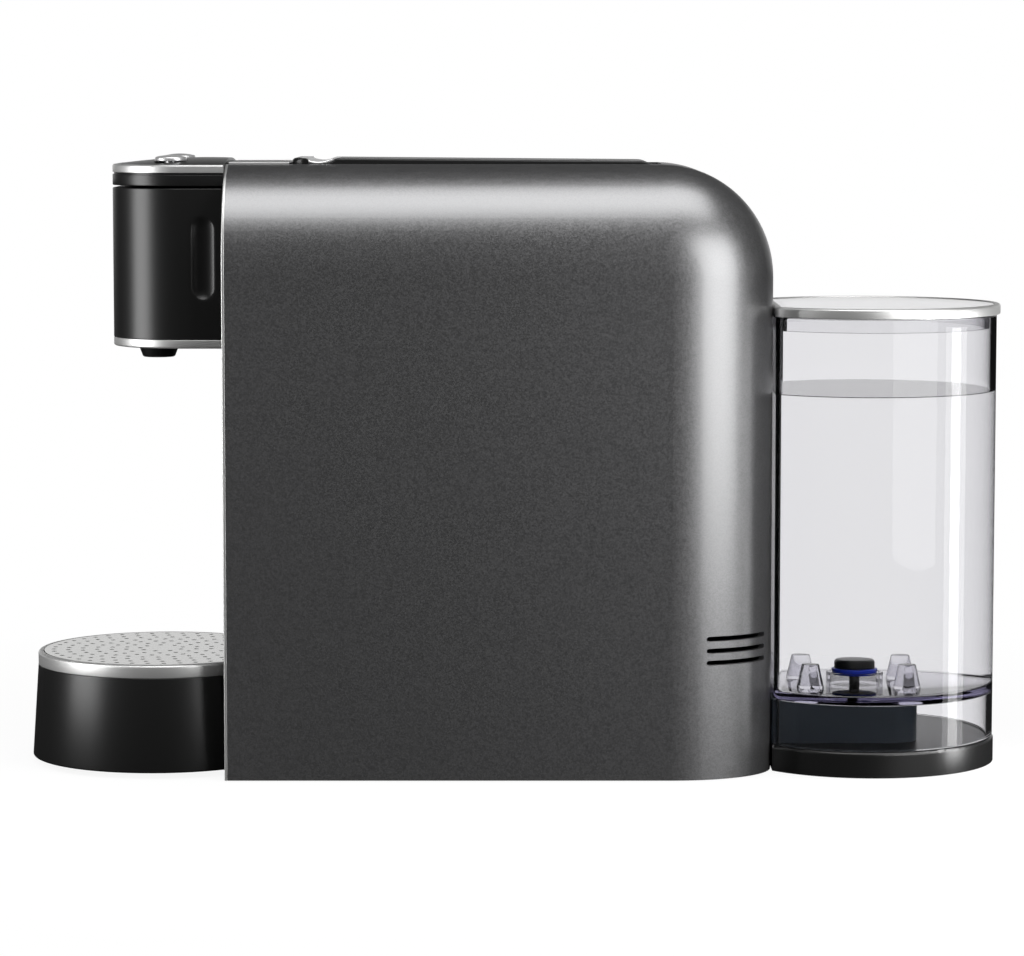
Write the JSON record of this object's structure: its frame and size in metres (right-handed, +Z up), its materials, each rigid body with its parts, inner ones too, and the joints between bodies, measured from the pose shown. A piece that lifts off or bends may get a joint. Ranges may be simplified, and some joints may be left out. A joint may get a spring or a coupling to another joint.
{
  "type": "pod coffee machine",
  "caption": "Slim pod coffee machine: arched grey shell, pull-out pod drawer with spout, top lever that moves the brew piston, round drip tray and clear lift-off water tank at the back.",
  "frame": {"origin": "centre of the whole machine's plan box, on the surface that its feet stand on", "axes": "+X runs from the cup side to the water tank, +Z is up, Y = 0 is the mirror plane"},
  "size_m": [0.4039, 0.118, 0.253],
  "materials": {
    "cover_paint": "moulded shell in dark grey metallic paint",
    "black_plastic": "satin black moulded plastic",
    "pedestal_plastic": "blue-black moulded plastic",
    "silver_trim": "satin silver",
    "bright_chrome": "satin chrome",
    "grid_steel": "perforated stainless sheet",
    "inner_steel": "plain steel",
    "inner_plastic": "natural grey nylon",
    "rubber_black": "moulded rubber",
    "hose_silicone": "milky silicone",
    "seal_blue": "blue silicone",
    "cast_aluminium": "as cast",
    "board_green": "green circuit board",
    "clear_plastic": "clear moulded plastic"
  },
  "bodies": {
    "chassis": {"base_plate": "black_plastic", "rubber_feet": "rubber_black", "main_cover": "cover_paint", "front_frame_trim": "silver_trim", "front_panel": "black_plastic", "cover_screws": "inner_steel", "cord_gland": "black_plastic", "head_top_cover": "black_plastic", "deck_trim": "silver_trim", "button_board": "board_green", "chassis_plate_right": "inner_steel", "chassis_plate_left": "inner_steel", "drawer_rail_right": "inner_plastic", "drawer_rail_left": "inner_plastic", "piston_guide": "inner_plastic", "lever_pivot_pin": "inner_steel", "tank_pedestal": "pedestal_plastic", "socket_seal": "rubber_black", "valve_pin": "inner_plastic", "inlet_tube": "inner_plastic", "flow_meter": "inner_plastic", "suction_hose": "hose_silicone", "pump_core": "inner_plastic", "pump_coil": "inner_plastic", "pump_mounts": "rubber_black", "pump_bracket": "inner_steel", "pressure_hose": "hose_silicone", "thermoblock": "cast_aluminium", "heater_brackets": "inner_steel", "thermostats": "inner_steel", "feed_tube": "inner_steel", "control_board": "board_green", "board_posts": "inner_plastic", "board_components": "black_plastic"},
    "button_right": {"brew_button_right": "bright_chrome"},
    "button_left": {"brew_button_left": "bright_chrome"},
    "lever": {"lever_panel": "black_plastic", "lever_lip": "bright_chrome", "lever_cam_right": "inner_steel", "lever_cam_left": "inner_steel"},
    "piston": {"brew_piston": "inner_plastic", "piston_seal": "rubber_black", "injection_needles": "inner_steel", "cross_pin": "inner_steel"},
    "drawer": {"drawer_shell": "black_plastic", "drawer_trim": "silver_trim", "drawer_runner_right": "inner_plastic", "drawer_runner_left": "inner_plastic", "pod_cradle": "black_plastic", "outlet_plate": "inner_steel", "outlet_chute": "black_plastic", "spout": "black_plastic"},
    "tray": {"tray_bucket": "black_plastic", "tray_rim": "silver_trim"},
    "grid": {"tray_grid": "grid_steel"},
    "tank": {"tank_shell": "clear_plastic"},
    "valve": {"valve_cap": "black_plastic", "valve_seal": "seal_blue"},
    "lid": {"lid_rim": "silver_trim", "lid_plate": "clear_plastic"}
  },
  "joints": [
    {"name": "drawer_slide", "type": "slide", "parent": "chassis", "child": "drawer", "axis": [-1, 0, 0], "range_m": [0, 0.055]},
    {"name": "lever_hinge", "type": "hinge", "parent": "chassis", "child": "lever", "pos_m": [0.0515, 0, 0.2423], "axis": [0, 1, 0], "range_deg": [0, 75]},
    {"name": "piston_slide", "type": "slide", "parent": "chassis", "child": "piston", "axis": [1, 0, 0], "range_m": [-0.0001, 0.0241]},
    {"name": "button_press_right", "type": "slide", "parent": "chassis", "child": "button_right", "axis": [0, 0, -1], "range_m": [0, 0.0015], "stiffness_N_per_m": 600},
    {"name": "button_press_left", "type": "slide", "parent": "chassis", "child": "button_left", "axis": [0, 0, -1], "range_m": [0, 0.0015], "stiffness_N_per_m": 600},
    {"name": "tray_slide", "type": "slide", "parent": "chassis", "child": "tray", "axis": [-1, 0, 0], "range_m": [0, 0.085]},
    {"name": "grid_lift", "type": "slide", "parent": "tray", "child": "grid", "axis": [0, 0, 1], "range_m": [0, 0.02]},
    {"name": "tank_lift", "type": "slide", "parent": "chassis", "child": "tank", "axis": [0, 0, 1], "range_m": [0, 0.09]},
    {"name": "valve_drop", "type": "slide", "parent": "tank", "child": "valve", "axis": [0, 0, 1], "range_m": [-0.0035, 0.0001]},
    {"name": "lid_lift", "type": "slide", "parent": "tank", "child": "lid", "axis": [0, 0, 1], "range_m": [0, 0.03]}
  ],
  "couplings": [
    {"joint": "piston_slide", "follows": "lever_hinge", "m_per_rad": 0.018335},
    {"joint": "valve_drop", "follows": "tank_lift", "ratio": -0.037778}
  ]
}
